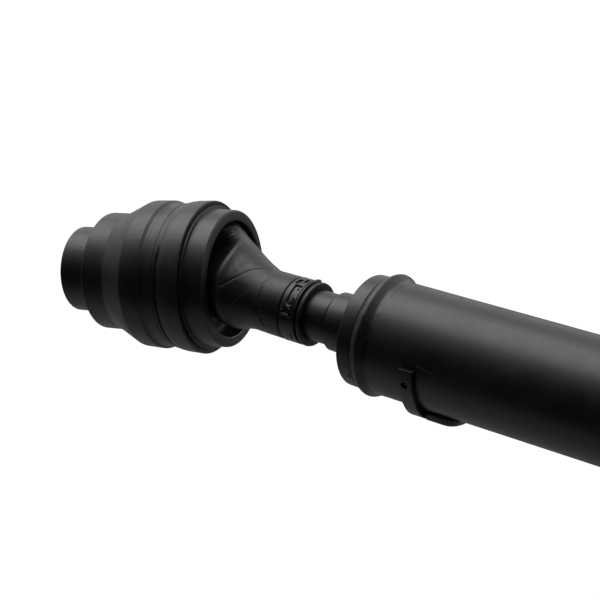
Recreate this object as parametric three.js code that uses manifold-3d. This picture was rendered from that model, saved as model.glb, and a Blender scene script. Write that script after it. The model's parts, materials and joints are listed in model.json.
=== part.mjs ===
// Universal joint shaft: the end of a tubular drive shaft with a ball-type
// constant-velocity universal joint, a rolled rubber boot and a bolted flange at
// the other end. Millimetres, +Z up.
//
// Frame: the origin is the centre of the pilot's flat end face at the flange end.
// +X runs along the tube from the joint towards the flange, so the whole object
// lies at negative X. The joint rests bent, its housing turned about BEND_AXIS.

import * as THREE from 'three';
import { mergeVertices } from 'three/addons/utils/BufferGeometryUtils.js';
import Module from 'manifold-3d';

const wasm = await Module();
wasm.setup();

// ---- driving dimensions -------------------------------------------------
const GAP = 0.3;              // running and seating gap between neighbours
const SEG = 30;               // facets round the axis

const JOINT_TO_HEAD = 141.3;  // joint centre to the tube head's front face
const HEAD_TO_PILOT = 385.0;  // tube head's front face to the pilot's end face
const JOINT_X = -(JOINT_TO_HEAD + HEAD_TO_PILOT);

const REST_BEND_DEG = 13.1;   // angle between housing and shaft at rest
const BEND_AXIS = [0, -0.48670, 0.87356];

const TUBE_R = 35.0;          // tube outside radius
const TUBE_WALL = 2.2;
const STUB_R = 16.0;          // stub shaft beside the boot
const STUB_R2 = 18.2;         // stub shaft beside the tube head
const NECK_R = 20.2;          // boot neck
const CLAMP_R = 20.4;         // boot clamp band outside

const PITCH_R = 30.0;         // ball pitch radius
const BALL_R = 8.5;
const TRACK_R = 9.45;         // ball track groove radius
const BALLS = 6;
const INNER_SPHERE_R = 24.5;  // inner race outside sphere
const CAGE_IN_R = 25.0;
const CAGE_OUT_R = 33.1;
const CAGE_HALF_W = 13.0;
const BORE_SPHERE_R = 33.6;   // outer race inside sphere

const NOSE_X = -80.2;         // end of the nose, from the joint centre
const NOSE_R = 28.3;
const NOSE_BORE_R = 19.0;
const STEP_R = 38.8;          // small diameter of the stepped cover
const COVER_R = 48.3;         // large diameter of the stepped cover
const VALLEY_R = 47.3;        // outer race between cover and collar
const SEAT_R = 45.8;          // outer race under the collar
const COLLAR_R = 49.9;        // largest diameter of the collar
const CAN_R = 44.5;           // boot can outside
const CAN_MOUTH_R = 37.5;     // boot can mouth
const CAN_END = 35.2;         // rim of the boot can, from the joint centre

const FLANGE_R = 52.0;
const FLANGE_T = 10.3;
const BOLT_CIRCLE_R = 39.5;
const BOLT_HOLE_R = 5.2;
const BOLTS = 6;
const PILOT_R = 24.0;

// ---- helpers --------------------------------------------------------------
const rad = (d) => (d * Math.PI) / 180;

function signedVolume(geometry) {
  const g = geometry.index ? geometry.toNonIndexed() : geometry;
  const p = g.attributes.position.array;
  let v = 0;
  for (let i = 0; i < p.length; i += 9) {
    v += p[i] * (p[i + 4] * p[i + 8] - p[i + 5] * p[i + 7])
       - p[i + 1] * (p[i + 3] * p[i + 8] - p[i + 5] * p[i + 6])
       + p[i + 2] * (p[i + 3] * p[i + 7] - p[i + 4] * p[i + 6]);
  }
  return v / 6;
}

// Keeps only positions, merges shared points, drops slivers, faces outwards.
function clean(geometry) {
  const g = geometry.clone();
  for (const name of Object.keys(g.attributes)) if (name !== 'position') g.deleteAttribute(name);
  const merged = mergeVertices(g, 1e-4);
  const idx = merged.index.array;
  const kept = [];
  for (let i = 0; i < idx.length; i += 3) {
    const [a, b, c] = [idx[i], idx[i + 1], idx[i + 2]];
    if (a !== b && b !== c && a !== c) kept.push(a, b, c);
  }
  if (signedVolume(merged) < 0) {
    for (let i = 0; i < kept.length; i += 3) [kept[i + 1], kept[i + 2]] = [kept[i + 2], kept[i + 1]];
  }
  merged.setIndex(kept);
  return merged;
}

// Solid of revolution about +X from [x, r] points. A profile that starts and
// ends on the axis is closed by the axis; any other one is closed on itself.
function lathe(points, segments = SEG) {
  const onAxis = points[0][1] === 0 && points[points.length - 1][1] === 0;
  const pts = onAxis ? points : [...points, points[0]];
  const g = new THREE.LatheGeometry(pts.map(([x, r]) => new THREE.Vector2(r, x)), segments);
  g.rotateZ(-Math.PI / 2);
  return clean(g);
}

function toManifold(geometry) {
  const g = clean(geometry);
  return new wasm.Manifold(new wasm.Mesh({
    numProp: 3,
    vertProperties: new Float32Array(g.attributes.position.array),
    triVerts: new Uint32Array(g.index.array),
  }));
}

function fromManifold(solid) {
  const m = solid.getMesh();
  const g = new THREE.BufferGeometry();
  const n = m.numProp;
  const count = m.vertProperties.length / n;
  const pos = new Float32Array(count * 3);
  for (let i = 0; i < count; i++) for (let k = 0; k < 3; k++) pos[3 * i + k] = m.vertProperties[n * i + k];
  g.setAttribute('position', new THREE.BufferAttribute(pos, 3));
  g.setIndex(Array.from(m.triVerts));
  return g;
}

// Points on a circle about the origin in the x-r plane, angle from +r to +x.
function arc(radius, from, to, steps) {
  const out = [];
  for (let i = 0; i <= steps; i++) {
    const a = rad(from + ((to - from) * i) / steps);
    out.push([radius * Math.sin(a), radius * Math.cos(a)]);
  }
  return out;
}

// A round bar bent along an arc about the origin, in the plane that holds +X
// and the direction at angle phi round the axis.
function bentBar(radius, barR, from, to, phi, steps, sides) {
  const shape = new THREE.Shape();
  for (let i = 0; i < sides; i++) {
    const a = (2 * Math.PI * i) / sides;
    if (i === 0) shape.moveTo(barR * Math.cos(a), barR * Math.sin(a));
    else shape.lineTo(barR * Math.cos(a), barR * Math.sin(a));
  }
  shape.closePath();
  class ArcPath extends THREE.Curve {
    getPoint(t, target = new THREE.Vector3()) {
      const a = rad(from + (to - from) * t);
      return target.set(radius * Math.sin(a), radius * Math.cos(a), 0);
    }
  }
  const g = new THREE.ExtrudeGeometry(shape, { steps, extrudePath: new ArcPath(), bevelEnabled: false });
  g.rotateX(phi);
  return g;
}

// A plate that lies round a cylinder about +X: radii r0 to r1, angles a0 to a1
// (0 at +Y, 90 at +Z), from x0 to x1.
function curvedPlate(r0, r1, a0, a1, x0, x1, steps) {
  const shape = new THREE.Shape();
  for (let i = 0; i <= steps; i++) {
    const a = rad(a0 + ((a1 - a0) * i) / steps);
    if (i === 0) shape.moveTo(r1 * Math.cos(a), r1 * Math.sin(a));
    else shape.lineTo(r1 * Math.cos(a), r1 * Math.sin(a));
  }
  for (let i = steps; i >= 0; i--) {
    const a = rad(a0 + ((a1 - a0) * i) / steps);
    shape.lineTo(r0 * Math.cos(a), r0 * Math.sin(a));
  }
  shape.closePath();
  const g = new THREE.ExtrudeGeometry(shape, { depth: x1 - x0, bevelEnabled: false });
  const turn = new THREE.Matrix4().makeBasis(
    new THREE.Vector3(0, 1, 0), new THREE.Vector3(0, 0, 1), new THREE.Vector3(1, 0, 0));
  g.applyMatrix4(turn);
  g.translate(x0, 0, 0);
  return g;
}

// A cylinder whose axis is radial, at station x and angle a round +X.
function radialPin(radius, from, to, x, a, sides = 16) {
  const g = new THREE.CylinderGeometry(radius, radius, to - from, sides);
  g.translate(0, (from + to) / 2, 0);
  g.rotateX(rad(a));
  g.translate(x, 0, 0);
  return g;
}

function material(color, roughness, metalness) {
  return new THREE.MeshStandardMaterial({ color, roughness, metalness });
}

const blackPaint = () => material(0x17181b, 0.42, 0.1);
const blackRubber = () => material(0x151517, 0.62, 0.0);
const bearingSteel = () => material(0x9a9ca0, 0.28, 0.95);
const darkSteel = () => material(0x4a4c50, 0.4, 0.85);

const part = new THREE.Group();
const shaft = new THREE.Group();     // tube side, straight along +X
const cageSet = new THREE.Group();   // cage and balls, at half the bend
const housing = new THREE.Group();   // joint housing, at the full bend
part.add(shaft, cageSet, housing);

const bendAxis = new THREE.Vector3(...BEND_AXIS).normalize();
for (const [group, share] of [[shaft, 0], [cageSet, 0.5], [housing, 1]]) {
  group.position.set(JOINT_X, 0, 0);
  group.quaternion.setFromAxisAngle(bendAxis, rad(REST_BEND_DEG) * share);
}

function add(group, name, geometry, mat) {
  const mesh = new THREE.Mesh(geometry, mat);
  mesh.name = name;
  group.add(mesh);
  return mesh;
}

// ---- shaft side; x is measured from the joint centre -----------------------
const HEAD = JOINT_TO_HEAD;
const END = JOINT_TO_HEAD + HEAD_TO_PILOT;

// Stub shaft with the tube head forged on: journal for the inner race, the
// seat of the boot neck, two steps, a disc and a spigot inside the tube.
add(shaft, 'stub_shaft', lathe([
  [-15.6, 0], [-15.6, 11], [-14.6, 12], [-14.4, 12], [-14.4, 10.7], [-12.6, 10.7], [-12.6, 12],
  [12.4, 12], [12.4, 13.5], [62, 13.5], [66, STUB_R], [HEAD - 20.9, STUB_R],
  [HEAD - 20.9, STUB_R2], [HEAD, STUB_R2], [HEAD, 34.3], [HEAD + 0.6, 34.9], [HEAD + 9.0, 34.9],
  [HEAD + 9.0, 32.5], [HEAD + 21, 32.5], [HEAD + 21, 27], [HEAD + 7, 27], [HEAD + 7, 0],
]), blackPaint());

const TUBE_0 = HEAD + 16.0;
const TUBE_1 = END - 55.0;
add(shaft, 'tube', lathe([
  [TUBE_0, TUBE_R], [TUBE_1, TUBE_R], [TUBE_1, TUBE_R - TUBE_WALL], [TUBE_0, TUBE_R - TUBE_WALL],
]), blackPaint());

const bead = (at, s) => [
  [at + s * -6.7, 32.8], [at + s * -6.7, 35.4], [at + s * -2.2, 37.2], [at + s * 1.6, 37.2],
  [at + s * 5.4, 35.35], [at + s * -0.3, 35.35], [at + s * -0.3, 32.8],
];
add(shaft, 'weld_bead_front', lathe(bead(TUBE_0, 1)), blackPaint());
add(shaft, 'weld_bead_rear', lathe(bead(TUBE_1, -1)), blackPaint());

// Welded flange hub with a closed pilot; the tube end sits over its spigot.
const HUB = TUBE_1 + 7.0;
add(shaft, 'flange_hub', (() => {
  const outline = [
    [END - 9, 0], [END - 9, 15], [END - 22, 18], [HUB - 2, 22], [HUB - 19, 26], [HUB - 19, 32.5],
    [HUB, 32.5], [HUB, 34.9], [HUB + 8, 34.9], [HUB + 15, 28], [END - 11 - FLANGE_T - 4, 27.2],
    [END - 11 - FLANGE_T - 1, 29], [END - 11 - FLANGE_T, 33], [END - 11 - FLANGE_T, FLANGE_R - 1],
    [END - 10 - FLANGE_T, FLANGE_R], [END - 12, FLANGE_R], [END - 11, FLANGE_R - 1],
    [END - 11, PILOT_R + 0.6], [END - 10.4, PILOT_R], [END - 1.2, PILOT_R], [END, PILOT_R - 1.2], [END, 0],
  ];
  let solid = toManifold(lathe(outline));
  for (let i = 0; i < BOLTS; i++) {
    const a = (2 * Math.PI * (i + 0.5)) / BOLTS;
    const hole = new THREE.CylinderGeometry(BOLT_HOLE_R, BOLT_HOLE_R, FLANGE_T + 8, 16);
    hole.rotateZ(Math.PI / 2);
    hole.translate(END - 11 - FLANGE_T / 2, BOLT_CIRCLE_R * Math.cos(a), BOLT_CIRCLE_R * Math.sin(a));
    solid = solid.subtract(toManifold(hole));
  }
  return fromManifold(solid);
})(), blackPaint());

// Balance weights: a strap round the tube with a plug in its hole, a second
// layer under its lower end, and a lengthwise plate with a rounded end.
let strap = toManifold(curvedPlate(TUBE_R + GAP, 38.0, 175, 262, HEAD + 44.8, HEAD + 53.9, 14));
strap = strap.subtract(toManifold(radialPin(2.0, 30, 45, HEAD + 49.0, 190)));
add(shaft, 'weight_strap', fromManifold(strap), blackPaint());
add(shaft, 'weight_strap_layer', clean(curvedPlate(38.3, 40.2, 224, 258, HEAD + 45.2, HEAD + 53.5, 7)), blackPaint());
add(shaft, 'weight_plug', clean(radialPin(1.6, TUBE_R + GAP, 36.9, HEAD + 49.0, 190)), darkSteel());

const plateOutline = new THREE.Shape();
plateOutline.moveTo(HEAD + 54.5, -12);
plateOutline.lineTo(HEAD + 66.5, -12);
for (let i = 0; i <= 8; i++) {
  const a = rad(-90 + 22.5 * i);
  plateOutline.lineTo(HEAD + 66.5 + 9 * Math.cos(a), 12 * Math.sin(a));
}
plateOutline.lineTo(HEAD + 54.5, 12);
plateOutline.closePath();
const plateBlank = new THREE.ExtrudeGeometry(plateOutline, { depth: 30, bevelEnabled: false });
plateBlank.translate(0, 0, 20);
plateBlank.rotateX(rad(254.5 - 90));
add(shaft, 'weight_plate', fromManifold(
  toManifold(curvedPlate(TUBE_R + GAP, 40.4, 231, 278, HEAD + 54.3, HEAD + 80.0, 12))
    .intersect(toManifold(plateBlank))), blackPaint());

// Boot clamp: a thin band whose ends overlap, with a raised hook block.
const band = new THREE.Shape();
for (let i = 0; i <= SEG; i++) {
  const deg = (360 * i) / SEG;
  const raised = deg >= 108 && deg <= 189;
  const r = raised ? CLAMP_R + 0.9 : CLAMP_R;
  const a = rad(deg);
  if (i === 0) band.moveTo(r * Math.cos(a), r * Math.sin(a));
  else band.lineTo(r * Math.cos(a), r * Math.sin(a));
}
const bandHole = new THREE.Path();
for (let i = 0; i <= SEG; i++) {
  const a = rad((-360 * i) / SEG);
  if (i === 0) bandHole.moveTo(19.6 * Math.cos(a), 19.6 * Math.sin(a));
  else bandHole.lineTo(19.6 * Math.cos(a), 19.6 * Math.sin(a));
}
band.holes.push(bandHole);
const bandSolid = new THREE.ExtrudeGeometry(band, { depth: 11.4, bevelEnabled: false });
bandSolid.applyMatrix4(new THREE.Matrix4().makeBasis(
  new THREE.Vector3(0, 1, 0), new THREE.Vector3(0, 0, 1), new THREE.Vector3(1, 0, 0)));
bandSolid.translate(HEAD - 52.2, 0, 0);
add(shaft, 'boot_clamp', clean(bandSolid), darkSteel());

// Inner race: a sphere zone with a bore and six ball grooves.
let race = toManifold(lathe([
  [-12, 12.3], ...arc(INNER_SPHERE_R, -29.3, 29.3, 6), [12, 12.3],
]));
for (let k = 0; k < BALLS; k++) {
  race = race.subtract(toManifold(bentBar(PITCH_R, TRACK_R, -52, 52, (2 * Math.PI * (k + 0.5)) / BALLS, 8, 12)));
}
add(shaft, 'inner_race', fromManifold(race), bearingSteel());
add(shaft, 'race_circlip', lathe([[-14.1, 11], [-14.1, 13.6], [-12.9, 13.6], [-12.9, 11]], 24), darkSteel());

// ---- cage and balls ----------------------------------------------------------
const cageOut = arc(CAGE_OUT_R, -23.12, 23.12, 6);
const cageIn = arc(CAGE_IN_R, 31.33, -31.33, 6);
let cage = toManifold(lathe([...cageOut, ...cageIn]));
for (let k = 0; k < BALLS; k++) {
  const window = new THREE.BoxGeometry(2 * BALL_R + 0.7, 20, 2 * BALL_R + 2.4);
  window.translate(0, PITCH_R, 0);
  window.rotateX((2 * Math.PI * (k + 0.5)) / BALLS);
  cage = cage.subtract(toManifold(window));
}
add(cageSet, 'cage', fromManifold(cage), bearingSteel());
for (let k = 0; k < BALLS; k++) {
  const a = (2 * Math.PI * (k + 0.5)) / BALLS;
  const ball = add(cageSet, `ball_${k + 1}`, clean(new THREE.SphereGeometry(BALL_R, 12, 8)), bearingSteel());
  ball.position.set(0, PITCH_R * Math.cos(a), PITCH_R * Math.sin(a));
}

// ---- housing side -------------------------------------------------------------
// Outer race: nose with a bore for the driving pinion, bell with six ball tracks.
let bell = toManifold(lathe([
  [NOSE_X, 27], [NOSE_X + 1, NOSE_R], [-55.1, NOSE_R], [-55.1, 36.8], [-54.6, 37.3], [-41.3, 37.35],
  [-37, 38.75], [-25.2, 46.2], [-23.9, 46.7], [-8.1, 46.7], [-8.1, 47.8], [-7.2, VALLEY_R], [0.7, VALLEY_R], [0.7, SEAT_R], [17, SEAT_R],
  [17, 30.6], ...arc(BORE_SPHERE_R, 27.6, -52, 9), [-26.6, 19.8], [-46, 19.8],
  [-46, NOSE_BORE_R], [-70.6, NOSE_BORE_R], [-70.6, 20.6], [-73.2, 20.6], [-73.2, NOSE_BORE_R],
  [NOSE_X + 1.5, NOSE_BORE_R], [NOSE_X, NOSE_BORE_R + 1.5],
]));
for (let k = 0; k < BALLS; k++) {
  bell = bell.subtract(toManifold(bentBar(PITCH_R, TRACK_R, -38, 62, (2 * Math.PI * (k + 0.5)) / BALLS, 8, 16)));
}
add(housing, 'outer_race', fromManifold(bell), blackPaint());

add(housing, 'grease_cap', lathe([
  [-45.5, 0], [-45.5, 19.4], [-38, 19.4], [-38, 18.4], [-44.3, 18.4], [-44.3, 0],
], 32), darkSteel());
add(housing, 'nose_lock_ring', lathe([
  [-72.9, 18.4], [-72.9, 20.2], [-70.9, 20.2], [-70.9, 18.4],
], 32), darkSteel());

// Stepped cover: pressed shell over the back of the bell.
add(housing, 'stepped_cover', lathe([
  [-56.7, 28.7], [-56.7, 37.6], [-55.7, 38.6], [-41.3, STEP_R], [-37, 40.2], [-24.8, 47.8],
  [-23.8, COVER_R], [-9, COVER_R], [-8.4, 47.9], [-8.4, 47.05], [-24.1, 47.05], [-25.5, 46.65],
  [-37.3, 39.2], [-41.4, 37.7], [-55.4, 37.65], [-55.4, 28.7],
]), blackPaint());

// Collar that clamps the boot can to the race.
add(housing, 'retaining_collar', lathe([
  [1, 46.15], [1, 47.8], [2.6, 47.8], [4, 48.7], [8, 49.3], [19.2, COLLAR_R], [19.7, 49.4], [19.7, 46.15],
]), blackPaint());

// Boot can: flange inside the collar, outer wall, rim and a returned inner wall
// that holds the boot's bead.
add(housing, 'boot_can', lathe([
  [17.3, 39.0], [17.3, 45.8], [20, 45.8], [20, 46.5], [21, 46.3], [21.3, 44.6], [34.4, CAN_R],
  [CAN_END, 43.7], [CAN_END, 38.5], [CAN_END - 1, CAN_MOUTH_R], [26.5, CAN_MOUTH_R], [26.5, 39.0],
  [33.4, 39.0], [33.4, 43.0], [19.0, 43.0], [19.0, 39.0],
]), blackPaint());

// ---- boot -----------------------------------------------------------------------
// A rolled rubber boot in two solids: the funnel with its neck on the shaft, and
// the roll with the membrane and the bead in the can. Each is turned straight,
// then bent between the two halves of the joint.
function bend(geometry) {
  const p = geometry.attributes.position;
  const v = new THREE.Vector3();
  for (let i = 0; i < p.count; i++) {
    v.fromBufferAttribute(p, i);
    const held = Math.hypot(v.y, v.z) > CAN_MOUTH_R - 0.5;   // bead, inside the can
    const t = held ? 0 : Math.min(1, Math.max(0, (v.x - 26) / (64 - 26)));
    const w = 1 - t * t * (3 - 2 * t);
    v.applyAxisAngle(bendAxis, rad(REST_BEND_DEG) * w);
    p.setXYZ(i, v.x, v.y, v.z);
  }
  return geometry;
}
const bootGroup = new THREE.Group();
bootGroup.position.set(JOINT_X, 0, 0);
part.add(bootGroup);

add(bootGroup, 'boot_funnel', bend(lathe([
  [44.3, 26.2], [54, 22.2], [64, NECK_R], [HEAD - 52.7, NECK_R], [HEAD - 52.7, 19.25],
  [HEAD - 40.3, 19.25], [HEAD - 39.4, 20.9], [HEAD - 36.4, 20.9], [HEAD - 35.6, 20.2],
  [HEAD - 35.6, 16.4], [66, 16.4], [54, 19.4], [44.3, 23.2],
])), blackRubber());

add(bootGroup, 'boot_roll', bend(lathe([
  [19.4, 42.6], [33.0, 42.6], [33.0, 39.4], [25.8, 39.4], [25.6, 37.0], [23.6, 34.4], [25.0, 31.8],
  [30.0, 30.6], [37, 29.0], [43.9, 26.35], [43.9, 23.4], [35, 26.6], [27.6, 28.2], [22.0, 29.6],
  [20.4, 34.2], [19.4, 38.6],
])), blackRubber());

export default part;
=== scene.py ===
"""Universal joint shaft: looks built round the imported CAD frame. Metres, +X from the joint to the flange, +Z up."""
import json
import math

import bmesh
import bpy
import numpy as np
from mathutils import Matrix, Vector


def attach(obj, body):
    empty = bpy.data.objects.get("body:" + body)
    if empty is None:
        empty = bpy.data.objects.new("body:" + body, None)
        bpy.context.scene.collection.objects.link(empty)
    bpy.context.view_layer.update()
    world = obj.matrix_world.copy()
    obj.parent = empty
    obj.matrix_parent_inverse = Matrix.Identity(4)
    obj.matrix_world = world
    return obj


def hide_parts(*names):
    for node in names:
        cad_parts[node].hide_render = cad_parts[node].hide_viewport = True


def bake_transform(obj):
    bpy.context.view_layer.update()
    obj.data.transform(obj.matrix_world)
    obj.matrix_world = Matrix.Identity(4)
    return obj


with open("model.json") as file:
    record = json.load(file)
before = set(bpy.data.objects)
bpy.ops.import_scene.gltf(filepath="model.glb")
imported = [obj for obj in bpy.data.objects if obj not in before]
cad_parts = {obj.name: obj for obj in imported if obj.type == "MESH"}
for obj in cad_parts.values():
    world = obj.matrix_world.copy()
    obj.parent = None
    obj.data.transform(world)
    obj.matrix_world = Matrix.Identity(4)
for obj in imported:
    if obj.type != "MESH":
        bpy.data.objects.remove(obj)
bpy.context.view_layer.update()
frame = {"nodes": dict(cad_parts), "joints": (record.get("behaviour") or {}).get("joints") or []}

# ------------------------------------------------------------------ the frame
JOINTS = {j["name"]: j for j in frame["joints"]}
J = np.array(JOINTS["bend_shaft_side"]["pos_m"], float) * 1000.0      # joint centre, mm
N_AX = np.array(JOINTS["bend_shaft_side"]["axis"], float)
N_AX /= np.linalg.norm(N_AX)
REST = math.radians(13.1)                                            # bend at rest
HEAD = 141.3                                                         # joint centre to tube head, mm
END = -J[0]                                                          # joint centre to pilot face, mm
E_ANG = 29.1                                                         # side that the bend stretches, degrees round the axis


def rot_about(v, axis, ang):
    """Points v turned about axis by ang, which may be one number or one per point."""
    v = np.asarray(v, float)
    ang = np.asarray(ang, float)
    c, s = np.cos(ang)[..., None], np.sin(ang)[..., None]
    return v * c + np.cross(axis, v) * s + axis * (v @ axis)[..., None] * (1 - c)


def to_row(p, share=0.0):
    """Local points in mm (x from the joint centre along the local axis) to the row frame in metres."""
    p = np.asarray(p, float)
    return (rot_about(p, N_AX, np.full(p.shape[:-1], REST * share)) + J) / 1000.0


def smooth(a, b, x):
    t = np.clip((np.asarray(x, float) - a) / (b - a), 0, 1)
    return t * t * (3 - 2 * t)


class Noise:
    """Seeded smooth value noise on a 3-D lattice."""

    def __init__(self, seed):
        self.t = np.random.RandomState(seed).rand(32, 32, 32)

    def __call__(self, p):
        p = np.asarray(p, float)
        i = np.floor(p).astype(int)
        f = p - i
        f = f * f * (3 - 2 * f)
        out = 0
        for dx in (0, 1):
            for dy in (0, 1):
                for dz in (0, 1):
                    w = (f[..., 0] if dx else 1 - f[..., 0]) * (f[..., 1] if dy else 1 - f[..., 1]) * (f[..., 2] if dz else 1 - f[..., 2])
                    out = out + w * self.t[(i[..., 0] + dx) % 32, (i[..., 1] + dy) % 32, (i[..., 2] + dz) % 32]
        return out * 2 - 1


# ------------------------------------------------------------------ mesh code
def fillet(points, closed=True, step=14.0):
    """[(x, r) or (x, r, radius)] to points with each stated corner rounded."""
    n = len(points)
    out = []
    for i, p in enumerate(points):
        rad = p[2] if len(p) > 2 else 0.0
        if rad <= 0 or (not closed and i in (0, n - 1)):
            out.append((p[0], p[1]))
            continue
        a = np.array(points[(i - 1) % n][:2], float)
        b = np.array(p[:2], float)
        c = np.array(points[(i + 1) % n][:2], float)
        u, v = a - b, c - b
        lu, lv = np.linalg.norm(u), np.linalg.norm(v)
        u, v = u / lu, v / lv
        ang = math.acos(max(-1, min(1, float(u @ v))))
        if ang > math.radians(178):
            out.append((p[0], p[1]))
            continue
        t = min(rad / math.tan(ang / 2), 0.48 * lu, 0.48 * lv)
        rad = t * math.tan(ang / 2)
        centre = b + (u + v) / np.linalg.norm(u + v) * (rad / math.sin(ang / 2))
        s, e = b + u * t, b + v * t
        a0 = math.atan2(s[1] - centre[1], s[0] - centre[0])
        a1 = math.atan2(e[1] - centre[1], e[0] - centre[0])
        d = (a1 - a0 + math.pi) % (2 * math.pi) - math.pi
        k = max(2, int(math.ceil(abs(math.degrees(d)) / step)))
        for q in range(k + 1):
            w = a0 + d * q / k
            out.append((centre[0] + rad * math.cos(w), centre[1] + rad * math.sin(w)))
    return out


def densify(pts, x0, x1, step):
    """Adds points on the stretches between x0 and x1, so that a surface can be shaped there."""
    out = []
    n = len(pts)
    for i in range(n):
        a, b = np.array(pts[i], float), np.array(pts[(i + 1) % n], float)
        out.append(tuple(a))
        if min(a[0], b[0]) >= x0 - 1e-6 and max(a[0], b[0]) <= x1 + 1e-6:
            k = int(np.linalg.norm(b - a) / step)
            for q in range(1, k):
                out.append(tuple(a + (b - a) * q / k))
    return out


def mesh_object(name, verts, faces, sharp=32.0, outward=True):
    me = bpy.data.meshes.new(name)
    me.from_pydata([tuple(v) for v in verts], [], faces)
    bm = bmesh.new()
    bm.from_mesh(me)
    bmesh.ops.remove_doubles(bm, verts=bm.verts, dist=1e-7)
    if outward:
        bmesh.ops.recalc_face_normals(bm, faces=bm.faces)
    bm.to_mesh(me)
    bm.free()
    me.shade_smooth()
    me.set_sharp_from_angle(angle=math.radians(sharp))
    o = bpy.data.objects.new(name, me)
    bpy.context.scene.collection.objects.link(o)
    return o


def lathe(name, prof, share=0.0, seg=160, shape=None, sharp=32.0):
    """Solid of revolution about the local axis. shape(x, r, theta) may return new x, r for each point."""
    on_axis = prof[0][1] <= 1e-9 and prof[-1][1] <= 1e-9
    P = np.array(prof, float)
    th = np.linspace(0, 2 * math.pi, seg, endpoint=False)
    X, T = np.meshgrid(P[:, 0], th, indexing="ij")
    R, _ = np.meshgrid(P[:, 1], th, indexing="ij")
    if shape is not None:
        X, R = shape(X, R, T)
    V = np.stack([X, R * np.cos(T), R * np.sin(T)], -1)
    W = to_row(V, share)
    m = len(prof)
    verts = W.reshape(-1, 3)
    faces = []
    last = m - 1 if on_axis else m
    for i in range(last):
        a, b = i, (i + 1) % m
        za, zb = on_axis and a == 0, on_axis and b == m - 1
        for k in range(seg):
            k2 = (k + 1) % seg
            q = (a * seg + k, a * seg + k2, b * seg + k2, b * seg + k)
            if za:
                faces.append((a * seg, b * seg + k2, b * seg + k))
            elif zb:
                faces.append((a * seg + k, a * seg + k2, b * seg))
            else:
                faces.append(q)
    if on_axis:  # the ring of points on the axis is one point
        verts = verts.copy()
        verts[:seg] = verts[0]
        verts[(m - 1) * seg:] = verts[(m - 1) * seg]
    used = sorted({i for f in faces for i in f})
    index = {v: i for i, v in enumerate(used)}
    return mesh_object(name, verts[used], [tuple(index[i] for i in f) for f in faces], sharp)


def apply_modifiers(o, sharp=32.0):
    bpy.context.view_layer.update()
    dg = bpy.context.evaluated_depsgraph_get()
    me = bpy.data.meshes.new_from_object(o.evaluated_get(dg))
    o.modifiers.clear()
    old = o.data
    o.data = me
    bpy.data.meshes.remove(old)
    me.name = o.name
    me.shade_smooth()
    me.set_sharp_from_angle(angle=math.radians(sharp))
    return o


def cut(o, cutters, sharp=32.0):
    """Takes the cutters out of o, one boolean for all of them."""
    joined = join_meshes("cutter", cutters)
    m = o.modifiers.new("cut", "BOOLEAN")
    m.operation, m.solver, m.object = "DIFFERENCE", "EXACT", joined
    apply_modifiers(o, sharp)
    bpy.data.objects.remove(joined)
    return o


def join_meshes(name, objs):
    bm = bmesh.new()
    for o in objs:
        bm.from_mesh(o.data)
    me = bpy.data.meshes.new(name)
    bm.to_mesh(me)
    bm.free()
    for o in objs:
        bpy.data.objects.remove(o)
    out = bpy.data.objects.new(name, me)
    bpy.context.scene.collection.objects.link(out)
    return out


def bevel(o, width_mm, segments=3, angle=35.0, sharp=32.0):
    m = o.modifiers.new("bevel", "BEVEL")
    m.width, m.segments, m.limit_method, m.angle_limit = width_mm / 1000, segments, "ANGLE", math.radians(angle)
    m.use_clamp_overlap = True
    return apply_modifiers(o, sharp)


def plate(name, r0, r1, xs, ths, keep=None, warp=None, share=0.0, sharp=32.0):
    """A plate bent round the axis, made of cells between the stations xs (mm) and ths (degrees).
    keep(i, j) says which cells are there; warp(x, th, r) may move the points."""
    nx, nt = len(xs), len(ths)
    r_lo = r0 if callable(r0) else (lambda x, t: r0 + 0 * x)
    r_hi = r1 if callable(r1) else (lambda x, t: r1 + 0 * x)
    verts, idx = [], {}

    def vid(i, j, top):
        k = (i, j, top)
        if k not in idx:
            x, t = np.float64(xs[i]), np.float64(ths[j])
            r = (r_hi if top else r_lo)(x, t)
            if warp:
                x, t, r = warp(x, t, r)
            a = math.radians(t)
            idx[k] = len(verts)
            verts.append((x, r * math.cos(a), r * math.sin(a)))
        return idx[k]

    on = {(i, j) for i in range(nx - 1) for j in range(nt - 1) if keep is None or keep(i, j)}
    faces = []
    for i, j in on:
        faces.append((vid(i, j, 1), vid(i + 1, j, 1), vid(i + 1, j + 1, 1), vid(i, j + 1, 1)))
        faces.append((vid(i, j, 0), vid(i, j + 1, 0), vid(i + 1, j + 1, 0), vid(i + 1, j, 0)))
        for (di, dj, p, q) in ((-1, 0, (0, 0), (0, 1)), (1, 0, (1, 1), (1, 0)), (0, -1, (1, 0), (0, 0)), (0, 1, (0, 1), (1, 1))):
            if (i + di, j + dj) not in on:
                a, b = (i + p[0], j + p[1]), (i + q[0], j + q[1])
                faces.append((vid(*a, 1), vid(*b, 1), vid(*b, 0), vid(*a, 0)))
    return mesh_object(name, to_row(np.array(verts), share), faces, sharp)


def rod(name, p0, p1, radius, sides=32, share=0.0, taper=1.0):
    """A closed round bar between two local points."""
    p0, p1 = np.array(p0, float), np.array(p1, float)
    d = (p1 - p0) / np.linalg.norm(p1 - p0)
    a = np.cross(d, [0, 0, 1.0]) if abs(d[2]) < 0.9 else np.cross(d, [1.0, 0, 0])
    a /= np.linalg.norm(a)
    b = np.cross(d, a)
    th = np.linspace(0, 2 * math.pi, sides, endpoint=False)
    ring = np.cos(th)[:, None] * a + np.sin(th)[:, None] * b
    v = np.concatenate([p0 + ring * radius, p1 + ring * radius * taper])
    faces = [(k, (k + 1) % sides, sides + (k + 1) % sides, sides + k) for k in range(sides)]
    faces += [tuple(range(sides))[::-1], tuple(range(sides, 2 * sides))]
    return mesh_object(name, to_row(v, share), faces)


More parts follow.
